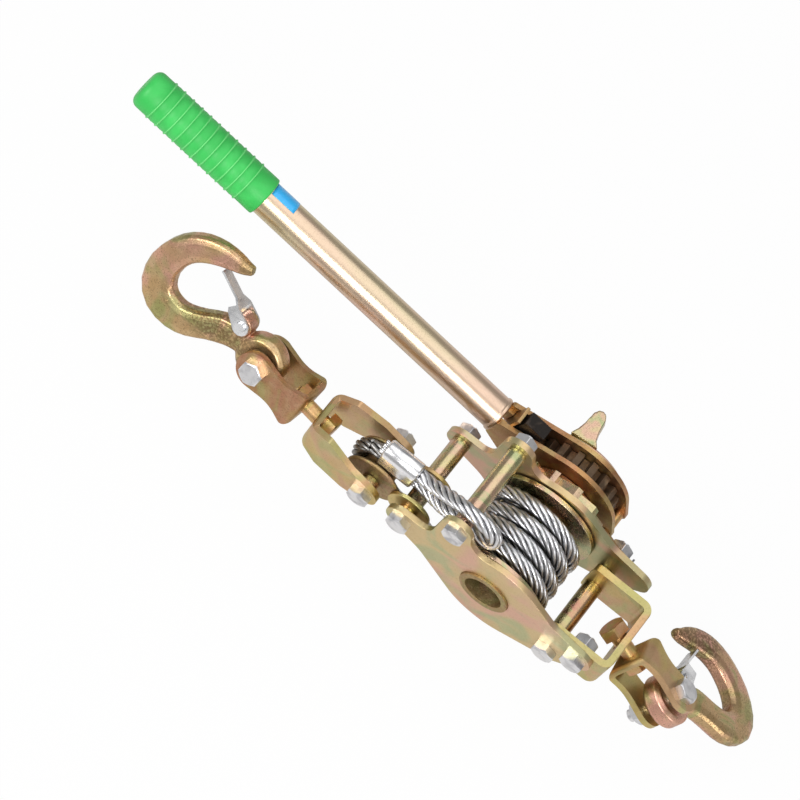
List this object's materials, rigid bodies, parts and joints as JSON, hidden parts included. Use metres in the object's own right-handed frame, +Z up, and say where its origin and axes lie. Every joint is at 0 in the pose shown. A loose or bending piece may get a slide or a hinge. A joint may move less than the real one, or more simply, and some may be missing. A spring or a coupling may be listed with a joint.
{
  "type": "come along winch",
  "caption": "Hand-operated ratchet cable puller: rope drum between two steel plates, long gripped lever, rope block and two latched swivel hooks.",
  "frame": {"origin": "middle of the drum's axis, halfway between the two side plates", "axes": "+X along the pull line towards the anchor hook, +Y along the drum axis towards the handle, +Z up"},
  "size_m": [0.5279, 0.1331, 0.1466],
  "materials": {
    "yellow_zinc": "yellow passivated zinc plate, slightly iridescent",
    "bright_zinc": "bright zinc plate",
    "wire_rope": "galvanised stranded wire",
    "ferrule": "swaged aluminium",
    "dark_steel": "black oxide",
    "green_rubber": "matt green rubber"
  },
  "bodies": {
    "frame": {"near_plate": "yellow_zinc", "far_plate": "yellow_zinc", "upper_spacer_tube": "yellow_zinc", "lower_spacer_tube": "yellow_zinc", "guide_spacers": "yellow_zinc", "near_guide_ear": "yellow_zinc", "far_guide_ear": "yellow_zinc", "pawl_spacer_tube": "yellow_zinc", "bracket_spacer": "yellow_zinc", "anchor_bracket": "yellow_zinc", "frame_bolts": "bright_zinc", "bracket_bolt": "bright_zinc", "frame_nuts": "bright_zinc", "holding_pawl_spring": "bright_zinc", "rope_eye": "wire_rope", "ferrule": "ferrule"},
    "drum": {"drum_axle": "yellow_zinc", "near_drum_flange": "yellow_zinc", "far_drum_flange": "yellow_zinc", "rope_core": "wire_rope", "rope_winding": "wire_rope", "holding_ratchet": "yellow_zinc", "thrust_washer": "yellow_zinc", "drive_ratchet": "yellow_zinc", "hand_disc": "yellow_zinc", "finger_lug": "yellow_zinc"},
    "handle": {"inner_yoke_plate": "yellow_zinc", "outer_yoke_plate": "yellow_zinc", "yoke_end_pin": "yellow_zinc", "handle_tube": "yellow_zinc", "grip": "green_rubber", "pawl_guide_pin": "bright_zinc", "pawl_stop_plate": "yellow_zinc"},
    "drive_pawl": {"drive_pawl": "dark_steel"},
    "holding_pawl": {"holding_pawl": "yellow_zinc"},
    "rope_block": {"block_strap": "yellow_zinc", "sheave_bolt": "bright_zinc", "sheave_nut": "bright_zinc", "sheave_spacers": "yellow_zinc", "rope_bend": "wire_rope", "rope_top_leg": "wire_rope", "rope_live_leg": "wire_rope"},
    "sheave": {"sheave": "yellow_zinc"},
    "rope_clevis": {"rope_swivel_bolt": "yellow_zinc", "rope_swivel_nut": "yellow_zinc", "rope_clevis": "yellow_zinc", "rope_hook_bolt": "bright_zinc", "rope_hook_nut": "bright_zinc"},
    "rope_hook": {"rope_hook": "yellow_zinc", "rope_latch_rivet": "bright_zinc"},
    "rope_latch": {"rope_latch": "bright_zinc"},
    "anchor_clevis": {"anchor_swivel_bolt": "yellow_zinc", "anchor_swivel_nut": "yellow_zinc", "anchor_clevis": "yellow_zinc", "anchor_hook_bolt": "bright_zinc", "anchor_hook_nut": "bright_zinc"},
    "anchor_hook": {"anchor_hook": "yellow_zinc", "anchor_latch_rivet": "bright_zinc"},
    "anchor_latch": {"anchor_latch": "bright_zinc"}
  },
  "joints": [
    {"name": "drum_spin", "type": "hinge", "parent": "frame", "child": "drum", "pos_m": [0, 0, 0], "axis": [0, 1, 0], "range_deg": [0, 1440]},
    {"name": "handle_swing", "type": "hinge", "parent": "frame", "child": "handle", "pos_m": [0, 0.057, 0], "axis": [0, 1, 0], "range_deg": [-140, 140]},
    {"name": "drive_pawl_slide", "type": "slide", "parent": "handle", "child": "drive_pawl", "axis": [0.9848, 0, -0.1736], "range_m": [0, 0.0038]},
    {"name": "holding_pawl_rock", "type": "hinge", "parent": "frame", "child": "holding_pawl", "pos_m": [0.05, 0.038, -0.009], "axis": [0, 1, 0], "range_deg": [-14, 20], "stiffness_Nm_per_rad": 0.05},
    {"name": "rope_block_slide", "type": "slide", "parent": "frame", "child": "rope_block", "axis": [-1, 0, 0], "range_m": [0, 0.377], "deforming": ["rope_top_leg", "rope_live_leg"]},
    {"name": "sheave_spin", "type": "hinge", "parent": "rope_block", "child": "sheave", "pos_m": [-0.093, -0.0135, 0], "axis": [0, 1, 0], "range_deg": [0, 1367]},
    {"name": "rope_swivel", "type": "hinge", "parent": "rope_block", "child": "rope_clevis", "pos_m": [-0.139, -0.0135, 0], "axis": [-0.9903, 0.1392, 0], "continuous": true},
    {"name": "rope_hook_pin", "type": "hinge", "parent": "rope_clevis", "child": "rope_hook", "pos_m": [-0.18554, -0.00696, 0], "axis": [0.1205, 0.8576, -0.5], "range_deg": [-85, 75]},
    {"name": "rope_latch_hinge", "type": "hinge", "parent": "rope_hook", "child": "rope_latch", "pos_m": [-0.20889, 0.00119, 0.00836], "axis": [0.1205, 0.8576, -0.5], "range_deg": [-25, 0], "stiffness_Nm_per_rad": 0.03, "springref_deg": 5.73},
    {"name": "anchor_swivel", "type": "hinge", "parent": "frame", "child": "anchor_clevis", "pos_m": [0.08375, -0.004, 0.001], "axis": [0.9339, -0.1479, -0.3256], "continuous": true},
    {"name": "anchor_hook_pin", "type": "hinge", "parent": "anchor_clevis", "child": "anchor_hook", "pos_m": [0.12512, -0.01055, -0.01342], "axis": [0.3541, 0.5101, 0.7839], "range_deg": [-146, 14]},
    {"name": "anchor_latch_hinge", "type": "hinge", "parent": "anchor_hook", "child": "anchor_latch", "pos_m": [0.12692, 0.01089, -0.02819], "axis": [0.3541, 0.5101, 0.7839], "range_deg": [-25, 0], "stiffness_Nm_per_rad": 0.03, "springref_deg": 5.73}
  ],
  "couplings": [
    {"joint": "rope_block_slide", "follows": "drum_spin", "m_per_rad": 0.015},
    {"joint": "sheave_spin", "follows": "drum_spin", "ratio": 0.949}
  ]
}
